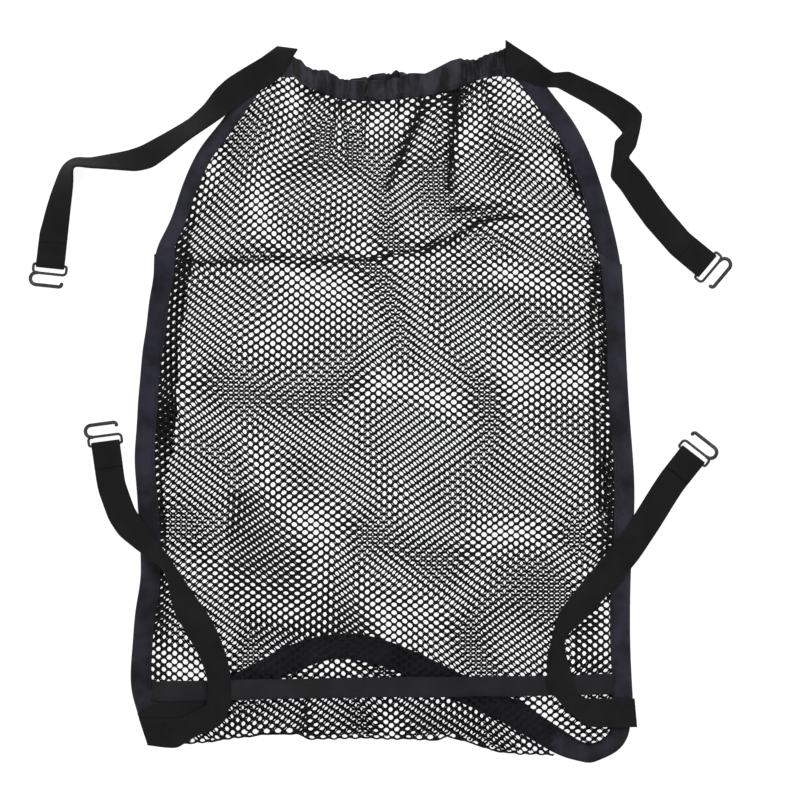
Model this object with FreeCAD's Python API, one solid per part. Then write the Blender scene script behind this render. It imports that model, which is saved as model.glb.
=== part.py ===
import FreeCAD, Part
import math
import os

from FreeCAD import Vector

# A mesh ball bag lying flat: a back and a front of knitted net, navy tape bound round the sides
# and the bottom, an elastic mouth, a cross tape, and four webbing straps that end in G hooks.
# X runs across the bag, Y from its bottom to its mouth, and Z up from the surface it lies on.
# Millimetres. The origin is at the middle of the whole outline, on that surface.

# Cloth and tape
bindingWidth = 14.0
bindingThickness = 3.6
archHalfWidth = 9.0
archThickness = 1.6
casingHalfWidth = 8.5
casingThickness = 1.7
channelWall = 0.4
elasticHalfWidth = 5.0
elasticThickness = 0.7
netThickness = 0.8
tapeHalfWidth = 7.0
tapeThickness = 0.9
foldWidth = 11.0
foldThickness = 0.6
gap = 0.3

# Levels above the surface
backNetLevel = 0.1
foldLevel = 1.3
frontLevel = 6.6
sideMiddleLevel = 6.1
sideOuterLevel = 3.9

# Webbing straps and their folded ends
webbingHalfWidth = 10.0
webbingThickness = 1.4
foldBackLength = 20.0
foldBackTop = 3.4
barLevel = 2.7
barRadius = 0.95
barClearance = 0.05
loopReach = 4.0
taperLength = 8.0

# G hook: a closed slot for the webbing and an open J for what it hooks over
slotHalfLength = 11.65
slotDepth = 6.2
innerCorner = 1.3
outerCorner = 2.6
jRadius = 1.3
jBendCentre = 8.7
jBendRadius = 4.2
jStraightEnd = -7.3
tipRadius = 2.0

# Thread
threadWidth = 0.5
threadHeight = 0.25
boxStitchHalf = 7.0
barStitchHalf = 8.5

# The middle of the front, which lifts away from the back when the mouth is pulled open
middleLeft = -55.0
middleRight = 82.0
frontBottom = -237.0

# Outer edges of the side bindings, from the mouth corner down
leftEdge = [(-76, 238.5), (-92, 224), (-110.6, 197), (-130, 166), (-150, 116),
            (-163, 62), (-170.9, -30), (-168, -105), (-173.4, -180), (-163, -240)]
rightEdge = [(95, 241.5), (105, 235), (118, 219), (134, 198), (154, 154),
             (168, 98), (173.5, 14), (178.2, -75), (175.6, -125), (178.5, -227)]
leftJoin = 112.0
rightJoin = 99.0

# Middle line of the binding along the bottom, which is folded up inside the bag
archLine = [(-160, -229), (-113, -207), (-77, -188), (-28, -172), (14, -181), (56, -201),
            (95, -220), (125, -239), (147, -245), (164, -241), (171, -229)]

# Middle line of the mouth casing, and the lowest edge of the net from left to right
casingLine = [(-61, 234.4), (-45, 225.5), (-25, 218.5), (0, 218), (25, 220.5),
              (50, 228), (70, 233.5), (84, 237.4)]
netBottom = [(-163, -240), (-84, -234), (-50, -237), (44, -237), (74, -243), (131, -249)]

# Each strap: points of its middle line as x, y, height and roll in degrees, first the stretch
# that is sewn down and then the free stretch, which starts at the strap's hinge line.
straps = {
    "top_left": {
        "sewn": [(-65, 245.5, 4.9, 0), (-72, 237, 4.9, 0), (-84.4, 227.6, 4.9, 0)],
        "free": [(-85.2, 227, 4.9, 0), (-102, 213, 4.9, 0), (-117.6, 201, 4.9, 0),
                 (-127, 194.5, 4.1, 0), (-140, 185, 1.9, 0), (-150.5, 177, 1.4, 0), (-168, 169, 3.2, 14),
                 (-189, 167, 7.2, 40), (-207, 167, 10.4, 68), (-216, 157, 10.4, 68),
                 (-221, 140, 6.4, 34), (-226, 122, 2.2, 6)],
        "end": (-231, 95.2),
        "outward": -96.0,
        "bendSide": -1,
        "boxStitch": (-72.5, 236.5, 45.0),
    },
    "top_right": {
        "sewn": [(84, 244.5, 4.9, 0), (93, 238, 4.9, 0), (102.5, 231, 4.9, 0)],
        "free": [(103.3, 230.4, 4.9, 0), (111.3, 224.5, 9.0, 24), (122, 221.5, 13.0, 58),
                 (136.5, 219, 6.0, 28), (154, 210, 1.6, 0), (175, 196, 1.2, 0),
                 (173, 183, 7.6, 40), (167, 168, 1.2, 0), (182, 146, 1.1, 0),
                 (197, 127, 1.0, 0)],
        "end": (227.8, 95.6),
        "outward": -40.0,
        "bendSide": 1,
        "boxStitch": (92, 238.8, -36.0),
    },
    "bottom_left": {
        "sewn": [(-167, -229, 5.8, 0), (-147, -229, 5.8, 0), (-114, -229, 8.9, 0),
                 (-113.5, -214.2, 9.3, 0)],
        "free": [(-113.5, -213.4, 9.3, 0), (-113, -190, 9.2, 0), (-119, -170, 8.2, 0),
                 (-130, -150, 7.7, 0), (-140, -132, 7.2, 0), (-155, -109, 6.2, 0),
                 (-171, -91, 5.1, 0), (-181, -79, 4.5, 0), (-188, -60, 1.4, 0)],
        "end": (-192.2, -30.4),
        "outward": 97.5,
        "bendSide": 1,
        "boxStitch": (-157, -229, 0.0),
    },
    "bottom_right": {
        "sewn": [(181, -217.5, 5.8, 0), (161, -218, 5.8, 0), (143, -218, 7.4, 0),
                 (129.4, -211, 9.3, 0), (127.4, -201.2, 9.3, 0)],
        "free": [(127.2, -200.4, 9.3, 0), (124.5, -187, 9.2, 0), (125.6, -166, 8.8, 0),
                 (133, -150, 8.4, 0), (154, -127, 7.1, 0), (173, -105, 5.7, 0),
                 (187, -84, 4.9, 0), (197, -68, 2.6, 0)],
        "end": (218.4, -38.8),
        "outward": 52.0,
        "bendSide": -1,
        "boxStitch": (170, -218, 0.0),
    },
}


def spline(points):
    curve = Part.BSplineCurve()
    curve.interpolate([Vector(x, y, 0) for x, y in points])
    return curve


def offsetCurve(points, distance):
    """The smooth curve that runs to the left of the given one, as seen along it."""
    curve = spline(points)
    first, last = curve.FirstParameter, curve.LastParameter
    steps = 4 * len(points)
    moved = []
    for i in range(steps + 1):
        t = first + (last - first) * i / steps
        along = curve.tangent(t)[0]
        moved.append(curve.value(t) + Vector(-along.y, along.x, 0) * distance)
    side = Part.BSplineCurve()
    side.interpolate(moved)
    return side


def band(points, near, far, low, high):
    """A strip of level tape between two offsets from a line, from one height to another."""
    a, b = offsetCurve(points, near), offsetCurve(points, far)
    a0, a1 = a.value(a.FirstParameter), a.value(a.LastParameter)
    b0, b1 = b.value(b.FirstParameter), b.value(b.LastParameter)
    edges = [a.toShape(), Part.makeLine(a1, b1), b.toShape(), Part.makeLine(b0, a0)]
    face = Part.Face(Part.Wire(Part.__sortEdges__(edges)))
    face.translate(Vector(0, 0, low))
    return face.extrude(Vector(0, 0, high - low))


def slab(xLow, xHigh, yLow, yHigh, low, high):
    return Part.makeBox(xHigh - xLow, yHigh - yLow, high - low, Vector(xLow, yLow, low))


def pieceAt(shape, x, y):
    """The solid of a cut shape that a vertical line through x, y meets."""
    probe = Part.makeLine(Vector(x, y, -50), Vector(x, y, 50))
    return next(s for s in shape.Solids if probe.distToShape(s)[0] < 1e-6)


def triangle(a, b, c):
    return Part.Face(Part.makePolygon([a, b, c, a]))


def closed(faces):
    solid = Part.Solid(Part.Shell(faces))
    if solid.Volume < 0:
        solid.reverse()
    return solid


def strip(corners):
    """A closed strip through rings of four corners, with flat triangles along its sides.
    Both faces are divided along the same diagonals, so that they stay apart where it twists."""
    faces = [Part.Face(Part.makePolygon(ring + ring[:1])) for ring in (corners[0], corners[-1])]
    for ring, following in zip(corners, corners[1:]):
        for i, j in ((0, 1), (1, 2), (3, 2), (0, 3)):
            faces.append(triangle(ring[i], ring[j], following[j]))
            faces.append(triangle(ring[i], following[j], following[i]))
    return closed(faces)


def webbing(points, halfWidth, thickness):
    """Flat webbing along x, y, height, roll points, mitred where it turns."""
    middle = [Vector(x, y, z) for x, y, z, roll in points]
    rings = []
    for i, centre in enumerate(middle):
        before = (centre - middle[i - 1]) if i else (middle[1] - centre)
        after = (middle[i + 1] - centre) if i + 1 < len(middle) else before
        before.normalize()
        after.normalize()
        along = before + after
        mitre = min(2 / along.Length, 1.6)
        along.normalize()
        level = Vector(-along.y, along.x, 0)
        level.normalize()
        roll = math.radians(points[i][3])
        across = level * (math.cos(roll) * mitre) + Vector(0, 0, math.sin(roll))
        facing = along.cross(across)
        facing.normalize()
        side, lift = across * halfWidth, facing * (thickness / 2)
        rings.append([centre + side + lift, centre - side + lift,
                      centre - side - lift, centre + side - lift])
    return strip(rings)


def edgePoint(curve, y):
    """The point of a line that falls all the way, at one Y."""
    low, high = curve.FirstParameter, curve.LastParameter
    for step in range(40):
        middle = (low + high) / 2
        if curve.value(middle).y > y:
            low = middle
        else:
            high = middle
    return curve.value(low)


def sidePanel(edge, inboard, innerX, rows):
    """A side of the front: level beside its middle and falling to the binding."""
    border = offsetCurve(edge, inboard * (bindingWidth + gap))
    top = []
    for y in rows:
        outer = edgePoint(border, y)
        halfway = (innerX + outer.x) / 2
        top.append([Vector(innerX, y, frontLevel + netThickness),
                    Vector(halfway, y, sideMiddleLevel + netThickness),
                    Vector(outer.x, y, sideOuterLevel + netThickness)])
    down = Vector(0, 0, -netThickness)
    faces = []
    for row, following in zip(top, top[1:]):
        for i in range(2):
            a, b, c, d = row[i], row[i + 1], following[i + 1], following[i]
            for shift in (Vector(), down):
                faces.append(triangle(a + shift, b + shift, c + shift))
                faces.append(triangle(a + shift, c + shift, d + shift))
    rim = top[0] + [row[-1] for row in top[1:-1]] + top[-1][::-1] + [row[0] for row in top[-2:0:-1]]
    for a, b in zip(rim, rim[1:] + rim[:1]):
        faces.append(Part.Face(Part.makePolygon([a, b, b + down, a + down, a])))
    return closed(faces)


def sideTape(edge, inboard, innerX, y, slope):
    """The end of the cross tape, laid on a side of the front with a small gap under it."""
    border = offsetCurve(edge, inboard * (bindingWidth + gap))
    outer = edgePoint(border, y)
    halfway = (innerX + outer.x) / 2
    lift = netThickness + gap + tapeThickness / 2
    stops = [(innerX, frontLevel), (halfway, sideMiddleLevel), (outer.x, sideOuterLevel)]
    points = [(x, y + slope * (x - innerX), z + lift, 0) for x, z in stops]
    return webbing(points, tapeHalfWidth, tapeThickness)


def bar(length, width, height, x, y, z, turn):
    solid = slab(-length / 2, length / 2, -width / 2, width / 2, z, z + height)
    solid.rotate(Vector(), Vector(0, 0, 1), turn)
    solid.translate(Vector(x, y, 0))
    return solid


def boxStitch(x, y, turn, z):
    """A square of thread with a cross in it."""
    reach = boxStitchHalf
    bars = []
    for side in (-reach, reach):
        for angle in (0.0, 90.0):
            a = math.radians(turn + angle)
            bars.append(bar(2 * reach + threadWidth, threadWidth, threadHeight,
                            x - side * math.sin(a), y + side * math.cos(a), z, turn + angle))
    for angle in (45.0, -45.0):
        bars.append(bar(2 * reach * math.sqrt(2), threadWidth, threadHeight, x, y, z, turn + angle))
    return bars[0].fuse(bars[1:]).removeSplitter()


def place(shape, name):
    """Moves a shape drawn with +Y outward and +X to the bend of the J to a strap's end."""
    strap = straps[name]
    if strap["bendSide"] > 0:
        shape = shape.mirror(Vector(), Vector(1, 0, 0))
    shape.rotate(Vector(), Vector(0, 0, 1), strap["outward"] - 90.0)
    shape.translate(Vector(strap["end"][0], strap["end"][1], barLevel))
    return shape


def rod(edges, start, along, radius):
    """A round rod along joined lines and arcs in the level plane."""
    ring = Part.Wire(Part.makeCircle(radius, start, along))
    return Part.Wire(edges).makePipeShell([ring], True, False)


def arcThrough(a, b, c):
    return Part.Arc(Vector(*a, 0), Vector(*b, 0), Vector(*c, 0)).toShape()


def line(a, b):
    return Part.makeLine(Vector(*a, 0), Vector(*b, 0))


def hook():
    reach, deep, near, far = slotHalfLength, slotDepth, innerCorner, outerCorner
    cut = 1 - math.sqrt(0.5)
    edges = [
        line((0, 0), (reach - near, 0)),
        arcThrough((reach - near, 0), (reach - near * cut, near * cut), (reach, near)),
        line((reach, near), (reach, deep - far)),
        arcThrough((reach, deep - far), (reach - far * cut, deep - far * cut), (reach - far, deep)),
        line((reach - far, deep), (far - reach, deep)),
        arcThrough((far - reach, deep), (far * cut - reach, deep - far * cut), (-reach, deep - far)),
        line((-reach, deep - far), (-reach, near)),
        arcThrough((-reach, near), (near * cut - reach, near * cut), (near - reach, 0)),
        line((near - reach, 0), (0, 0)),
    ]
    slot = rod(edges, Vector(), Vector(1, 0, 0), barRadius)
    outer = deep + 2 * jBendRadius
    tip = (jStraightEnd - tipRadius, outer - tipRadius)
    path = [
        arcThrough((jBendCentre, deep), (jBendCentre + jBendRadius, deep + jBendRadius),
                   (jBendCentre, outer)),
        line((jBendCentre, outer), (jStraightEnd, outer)),
        arcThrough((jStraightEnd, outer), (jStraightEnd - tipRadius * math.sqrt(0.5),
                                           outer - tipRadius * cut), tip),
    ]
    j = rod(path, Vector(jBendCentre, deep, 0), Vector(1, 0, 0), jRadius)
    ends = [Part.makeSphere(jRadius, Vector(*tip, 0)),
            Part.makeSphere(jRadius, Vector(jBendCentre, deep, 0))]
    return slot.fuse([j] + ends)


def endLoop():
    """The end of the webbing, folded round the hook's bar and back on itself."""
    half = webbingHalfWidth
    outer = barRadius + barClearance + webbingThickness
    low = -barLevel + gap
    top = foldBackTop - barLevel
    profile = [(0, outer), (-taperLength, top), (-foldBackLength, top),
               (-foldBackLength, top - webbingThickness + 0.05), (-loopReach, low + webbingThickness),
               (-loopReach, low), (0, -outer), (0, outer)]
    face = Part.Face(Part.makePolygon([Vector(-half, y, z) for y, z in profile]))
    folded = face.extrude(Vector(2 * half, 0, 0))
    side = Vector(-half, 0, 0)
    along = Vector(1, 0, 0)
    round_ = Part.makeCylinder(outer, 2 * half, side, along)
    bore = Part.makeCylinder(barRadius + barClearance, 2 * half, side, along)
    return folded.fuse(round_).cut(bore)


def endStitches():
    rows = [bar(2 * barStitchHalf, threadWidth, threadHeight, 0, -y, foldBackTop - barLevel + 0.05, 0)
            for y in (13.0, 17.0)]
    return Part.makeCompound(rows)


def straightEnd(name):
    """The last two points of the free webbing, level and in line with its hook."""
    strap = straps[name]
    angle = math.radians(strap["outward"])
    out = Vector(math.cos(angle), math.sin(angle), 0)
    level = gap + webbingThickness / 2
    points = []
    for back in (foldBackLength + 2.0, loopReach + 0.2):
        spot = Vector(strap["end"][0], strap["end"][1], level) - out * back
        points.append((spot.x, spot.y, spot.z, 0))
    return points


def casings(parts):
    """Back and front of the mouth casing, with the elastic in their channels."""
    middle = slab(middleLeft, middleRight, 150, 300, 0, 50)
    for side, low in (("back", 0.0), ("front", frontLevel)):
        high = low + casingThickness
        casing = band(casingLine, -casingHalfWidth, casingHalfWidth, low, high)
        channel = band(casingLine, -elasticHalfWidth - gap, elasticHalfWidth + gap,
                       low + channelWall, high - channelWall)
        spare = (casingThickness - elasticThickness) / 2
        elastic = band(casingLine, -elasticHalfWidth, elasticHalfWidth, low + spare, high - spare)
        seam = band(casingLine, -casingHalfWidth + 1.0, -casingHalfWidth + 1.0 + threadWidth,
                    high, high + threadHeight)
        casing = casing.cut(channel)
        seam = seam.common(slab(-57, 80, 150, 300, 0, 50))
        if side == "front":
            casing, elastic, seam = (s.common(middle) for s in (casing, elastic, seam))
        parts["mouth_casing_" + side] = casing
        parts["mouth_elastic_" + side] = elastic
        parts["casing_seam_" + side] = seam


def bindings(parts):
    """The side bindings, each sewn from two lengths, their seams and the net's turned-in edges."""
    sides = (("left", leftEdge, 1, leftJoin), ("right", rightEdge, -1, rightJoin))
    for side, edge, inboard, join in sides:
        whole = band(edge, 0, inboard * bindingWidth, 0, bindingThickness)
        seam = band(edge, inboard * (bindingWidth - 1.5), inboard * (bindingWidth - 1.5 - threadWidth),
                    bindingThickness, bindingThickness + threadHeight)
        fold = band(edge, inboard * (bindingWidth + 2 * gap),
                    inboard * (bindingWidth + 2 * gap + foldWidth),
                    foldLevel, foldLevel + foldThickness)
        upper = slab(-300, 300, join + gap / 2, 300, -1, 50)
        lower = slab(-300, 300, -300, join - gap / 2, -1, 50)
        parts[side + "_binding_upper"] = whole.common(upper)
        parts[side + "_binding_lower"] = whole.common(lower)
        parts[side + "_binding_seam"] = seam.common(slab(-300, 300, -208, 205, -1, 50))
        parts[side + "_net_fold"] = fold.common(slab(-300, 300, -160, 150, -1, 50))
    parts["bottom_binding"] = band(archLine, -archHalfWidth, archHalfWidth, 0, archThickness)
    ends = (parts["left_binding_lower"], parts["right_binding_lower"])
    for end in ends:
        parts["bottom_binding"] = parts["bottom_binding"].cut(end)
    parts["bottom_binding"] = pieceAt(parts["bottom_binding"], -28, -172)


def netPanels(parts):
    """The back, the part of the front that returns under the bag, and the front in three."""
    left, right = spline(leftEdge), spline(rightEdge)
    top = spline(casingLine)
    corners = [Vector(x, y, 0) for x, y in netBottom]
    leftTop, rightTop = left.value(left.FirstParameter), right.value(right.FirstParameter)
    leftLow, rightLow = left.value(left.LastParameter), right.value(right.LastParameter)
    topLeft, topRight = top.value(top.FirstParameter), top.value(top.LastParameter)
    edges = [left.toShape(), right.toShape(), top.toShape(), Part.makeLine(leftTop, topLeft),
             Part.makeLine(topRight, rightTop), Part.makeLine(corners[-1], rightLow)]
    edges += [Part.makeLine(a, b) for a, b in zip([leftLow] + corners[1:], corners[1:])]
    outline = Part.Face(Part.Wire(Part.__sortEdges__(edges)))
    outline.translate(Vector(0, 0, backNetLevel))
    sheet = outline.extrude(Vector(0, 0, netThickness))
    trims = [band(leftEdge, -1, bindingWidth + gap, -1, 50),
             band(rightEdge, 1, -bindingWidth - gap, -1, 50),
             band(archLine, -archHalfWidth - gap, archHalfWidth + gap, -1, 50),
             band(casingLine, -casingHalfWidth - gap, casingHalfWidth + gap, -1, 50)]
    sheet = sheet.cut(trims)
    parts["back_net_panel"] = pieceAt(sheet, 0, 0)
    returned = pieceAt(sheet, 0, -215)
    wall = slab(middleLeft, 44, frontBottom, frontBottom + netThickness, backNetLevel, frontLevel - gap)
    parts["bottom_net_return"] = returned.fuse(wall).removeSplitter()
    middle = slab(middleLeft, middleRight, frontBottom, 260, frontLevel, frontLevel + netThickness)
    above = band(casingLine, -casingHalfWidth - gap, 60, -1, 50)
    parts["front_net_panel"] = pieceAt(middle.cut(above), 0, 0)
    leftRows = [216, 205, 180, 150, 110, 60, 0, -60, -120, -180, -236]
    rightRows = [213, 205, 180, 150, 110, 60, 0, -60, -120, -180, -224]
    parts["front_net_left"] = sidePanel(leftEdge, 1, middleLeft - gap, leftRows)
    parts["front_net_right"] = sidePanel(rightEdge, -1, middleRight + gap, rightRows)


def crossTape(parts):
    top = frontLevel + netThickness + gap
    parts["cross_tape_left"] = sideTape(leftEdge, 1, middleLeft - 2 * gap, -200.5, 0.05)
    parts["cross_tape_right"] = sideTape(rightEdge, -1, middleRight + 2 * gap, -198.0, 0.015)
    points = [(middleLeft, -200.5, top + tapeThickness / 2, 0),
              (middleRight, -198.0, top + tapeThickness / 2, 0)]
    parts["cross_tape_middle"] = webbing(points, tapeHalfWidth, tapeThickness)
    rows = [bar(middleRight - middleLeft - 2, threadWidth, threadHeight,
                (middleLeft + middleRight) / 2, -199.2 + side, top + tapeThickness + 0.02, 1.05)
            for side in (-5.8, 5.8)]
    parts["tape_seams"] = Part.makeCompound(rows)


def strapParts(parts):
    for name, strap in straps.items():
        parts[name + "_strap_end"] = webbing(strap["sewn"], webbingHalfWidth, webbingThickness)
        free = strap["free"] + straightEnd(name)
        parts[name + "_strap"] = webbing(free, webbingHalfWidth, webbingThickness)
        parts[name + "_strap_loop"] = place(endLoop(), name)
        parts[name + "_loop_stitches"] = place(endStitches(), name)
        x, y, turn = strap["boxStitch"]
        top = parts[name + "_strap_end"].common(bar(16, 16, 50, x, y, 0, turn)).BoundBox.ZMax
        parts[name + "_box_stitch"] = boxStitch(x, y, turn, top + 0.02)
        parts[name + "_hook"] = place(hook(), name)


parts = {}
bindings(parts)
casings(parts)
netPanels(parts)
crossTape(parts)
strapParts(parts)

os.makedirs("parts", exist_ok=True)
for name, shape in sorted(parts.items()):
    shape.exportStep("parts/" + name + ".step")
    solids = len(shape.Solids)
    box = shape.BoundBox
    print(f"{name}: {solids} solid(s), {shape.Volume:.0f} mm3, valid {shape.isValid()}, "
          f"z {box.ZMin:.2f} to {box.ZMax:.2f}")
whole = Part.makeCompound(list(parts.values())).BoundBox
print("nodes", len(parts))
print(f"outline {whole.XMin:.1f} {whole.XMax:.1f} {whole.YMin:.1f} {whole.YMax:.1f} {whole.ZMin:.2f} {whole.ZMax:.2f}")
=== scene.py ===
import math

import bpy
import numpy as np
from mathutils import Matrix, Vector


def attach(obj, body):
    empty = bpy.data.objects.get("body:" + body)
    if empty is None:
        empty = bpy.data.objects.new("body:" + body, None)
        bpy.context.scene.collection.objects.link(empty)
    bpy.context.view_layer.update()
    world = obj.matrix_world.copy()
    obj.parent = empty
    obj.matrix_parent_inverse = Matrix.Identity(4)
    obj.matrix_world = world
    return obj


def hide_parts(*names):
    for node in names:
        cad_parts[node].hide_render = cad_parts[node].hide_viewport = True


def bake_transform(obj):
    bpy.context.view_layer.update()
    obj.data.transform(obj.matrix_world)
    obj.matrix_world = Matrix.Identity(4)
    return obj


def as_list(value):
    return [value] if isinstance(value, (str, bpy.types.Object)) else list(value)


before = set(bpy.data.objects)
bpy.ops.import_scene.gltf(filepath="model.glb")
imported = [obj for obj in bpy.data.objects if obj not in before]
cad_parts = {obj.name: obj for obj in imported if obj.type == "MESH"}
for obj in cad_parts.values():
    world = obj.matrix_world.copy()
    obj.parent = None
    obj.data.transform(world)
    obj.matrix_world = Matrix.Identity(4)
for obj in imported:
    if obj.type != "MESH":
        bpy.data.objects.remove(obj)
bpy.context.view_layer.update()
mm = 0.001

# The bag lies flat: X across it, Y from its bottom to its mouth, Z up. Places in the lists are
# in millimetres, and the meshes that are made from them are in metres.


def log(stage):
    print("bag:", stage, flush=True)


# Lines

def soften(rows, spacing, softness):
    # straight runs between the rows, read at an even spacing and rounded at their corners
    rows = np.array(rows, float)
    at = np.concatenate([[0], np.cumsum(np.linalg.norm(np.diff(rows[:, :3], axis=0), axis=1))])
    where = np.linspace(0, at[-1], max(int(at[-1] / spacing) + 1, 4))
    dense = np.stack([np.interp(where, at, rows[:, k]) for k in range(rows.shape[1])], axis=1)
    reach = np.minimum(softness, np.minimum(where, at[-1] - where) / 2 + 1e-6)
    weight = np.exp(-((where[:, None] - where[None, :]) / reach[:, None]) ** 2 / 2)
    return (weight @ dense) / weight.sum(axis=1)[:, None]


def curveThrough(points, spacing):
    # a natural cubic through the points
    knots = np.array(points, float)
    steps = np.linalg.norm(np.diff(knots[:, :2], axis=0), axis=1)
    at = np.concatenate([[0], np.cumsum(steps)])
    n = len(knots)
    system, right = np.eye(n), np.zeros_like(knots)
    for i in range(1, n - 1):
        system[i, i - 1:i + 2] = steps[i - 1], 2 * (steps[i - 1] + steps[i]), steps[i]
        right[i] = 6 * ((knots[i + 1] - knots[i]) / steps[i] - (knots[i] - knots[i - 1]) / steps[i - 1])
    bend = np.linalg.solve(system, right)
    where = np.linspace(0, at[-1], int(at[-1] / spacing) + 1)
    k = np.clip(np.searchsorted(at, where, side="right") - 1, 0, n - 2)
    h = steps[k][:, None]
    a, b = (at[k + 1] - where)[:, None], (where - at[k])[:, None]
    cubic = (bend[k] * a ** 3 + bend[k + 1] * b ** 3) / (6 * h)
    return cubic + (knots[k] / h - bend[k] * h / 6) * a + (knots[k + 1] / h - bend[k + 1] * h / 6) * b


def unit(v):
    return v / np.maximum(np.linalg.norm(v, axis=-1, keepdims=True), 1e-12)


def leftOf(line):
    t = np.gradient(line[:, :2], axis=0)
    return unit(np.stack([-t[:, 1], t[:, 0]], axis=1))


def lengths(line):
    return np.concatenate([[0], np.cumsum(np.linalg.norm(np.diff(line, axis=0), axis=1))])


def atLength(line, where):
    run = lengths(line)
    return np.stack([np.interp(where, run, line[:, k]) for k in range(line.shape[1])], axis=1)


def raised(line, z):
    return np.column_stack([line[:, :2], np.broadcast_to(z, len(line))])


def smoothStep(low, high, x):
    t = np.clip((x - low) / (high - low), 0, 1)
    return t * t * (3 - 2 * t)


def waves(x, y, seed, scale, count=6):
    # smooth unevenness from -1 to 1, the same in each run
    draw = np.random.default_rng(seed)
    total = 0.0 * x
    for turn, size, shift in zip(draw.uniform(0, math.tau, count), draw.uniform(0.6, 1.7, count),
                                 draw.uniform(0, math.tau, count)):
        total = total + np.sin((x * math.cos(turn) + y * math.sin(turn)) * math.tau / (scale * size) + shift)
    return total / count * 1.4


# Meshes

def makePiece(name, vertices, faces, material, uv=None):
    mesh = bpy.data.meshes.new(name)
    mesh.from_pydata(np.asarray(vertices, float).tolist(), [], faces)
    if uv is not None:
        corners = np.zeros(len(mesh.loops), np.int32)
        mesh.loops.foreach_get("vertex_index", corners)
        layer = mesh.uv_layers.new(name="cloth")
        layer.data.foreach_set("uv", np.asarray(uv, np.float32)[corners].ravel())
    mesh.polygons.foreach_set("use_smooth", [True] * len(mesh.polygons))
    mesh.update()
    mesh.materials.append(material)
    piece = bpy.data.objects.new(name, mesh)
    bpy.context.scene.collection.objects.link(piece)
    return piece


def settle(piece):
    # turns a piece and its live modifiers into a plain mesh
    bpy.context.view_layer.update()
    mesh = bpy.data.meshes.new_from_object(piece.evaluated_get(bpy.context.evaluated_depsgraph_get()))
    piece.modifiers.clear()
    old, piece.data = piece.data, mesh
    bpy.data.meshes.remove(old)
    mesh.name = piece.name
    return piece


def flatSection(thickness):
    # a ring across a flat tape: its top from the right edge to the left one, then its underside
    places = (-1, -0.985, -0.95, -0.6, -0.2, 0.2, 0.6, 0.95, 0.985, 1)
    heights = (0, 0.7, 0.95, 1, 1, 1, 1, 0.95, 0.7, 0)
    top = [(a, h * thickness / 2) for a, h in zip(places, heights)]
    return top + [(a, -h) for a, h in top[-2:0:-1]]


def frameOf(left, right):
    middle, half = (left + right) / 2, (left - right) / 2
    return middle, half, unit(np.cross(unit(np.gradient(middle, axis=0)), unit(half)))


def onSurface(left, right, across, height):
    middle, half, facing = frameOf(left, right)
    return middle + half * across + facing * np.broadcast_to(height, len(middle))[:, None]


def sweep(name, left, right, section, material, lift=0.0):
    # a closed strip between two edge lines, with its section's ring at each of their points
    middle, half, facing = frameOf(left, right)
    across, high = np.array([s[0] for s in section]), np.array([s[1] for s in section])
    n, m = len(middle), len(section)
    heights = np.broadcast_to(high, (n, m)) + lift
    ring = middle[:, None] + half[:, None] * across[:, None] + facing[:, None] * heights[:, :, None]
    faces = [[i * m + k, (i + 1) * m + k, (i + 1) * m + (k + 1) % m, i * m + (k + 1) % m]
             for i in range(n - 1) for k in range(m)]
    faces += [list(range(m)), [(n - 1) * m + k for k in reversed(range(m))]]
    width = np.linalg.norm(half, axis=1)[:, None] * across
    run = lengths(middle)[:, None] + 0 * across
    uv = np.stack([width, run], axis=2).reshape(-1, 2) * mm
    return makePiece(name, ring.reshape(-1, 3) * mm, faces, material, uv)


# Node trees

def addNode(tree, kind, settings=None, inputs=None):
    node = tree.nodes.new(kind)
    for key, value in (settings or {}).items():
        if key == "stops":
            ramp = node.color_ramp
            while len(ramp.elements) < len(value):
                ramp.elements.new(0.5)
            for element, (place, shade) in zip(ramp.elements, value):
                element.position, element.color = place, (*shade, 1)
        else:
            setattr(node, key, value)
    for key, value in (inputs or {}).items():
        value = value.socket if isinstance(value, Amount) else value
        if isinstance(value, bpy.types.NodeSocket):
            tree.links.new(value, node.inputs[key])
        else:
            node.inputs[key].default_value = value
    return node


class Amount:
    # one number of a material, so that masks and ribs read as plain sums

    def __init__(self, tree, socket):
        self.tree, self.socket = tree, socket

    def math(self, operation, *others):
        inputs = {i: other for i, other in enumerate((self, *others))}
        node = addNode(self.tree, "ShaderNodeMath", {"operation": operation}, inputs)
        return Amount(self.tree, node.outputs[0])

    def __add__(self, other):
        return self.math("ADD", other)

    def __mul__(self, other):
        return self.math("MULTIPLY", other)

    def __sub__(self, other):
        return self.math("SUBTRACT", other)

    def __rsub__(self, other):
        return self.math("MULTIPLY", -1.0).math("ADD", other)

    __radd__ = __add__
    __rmul__ = __mul__

    def wave(self, size):
        return (self * (math.tau / size)).math("SINE")


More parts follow.
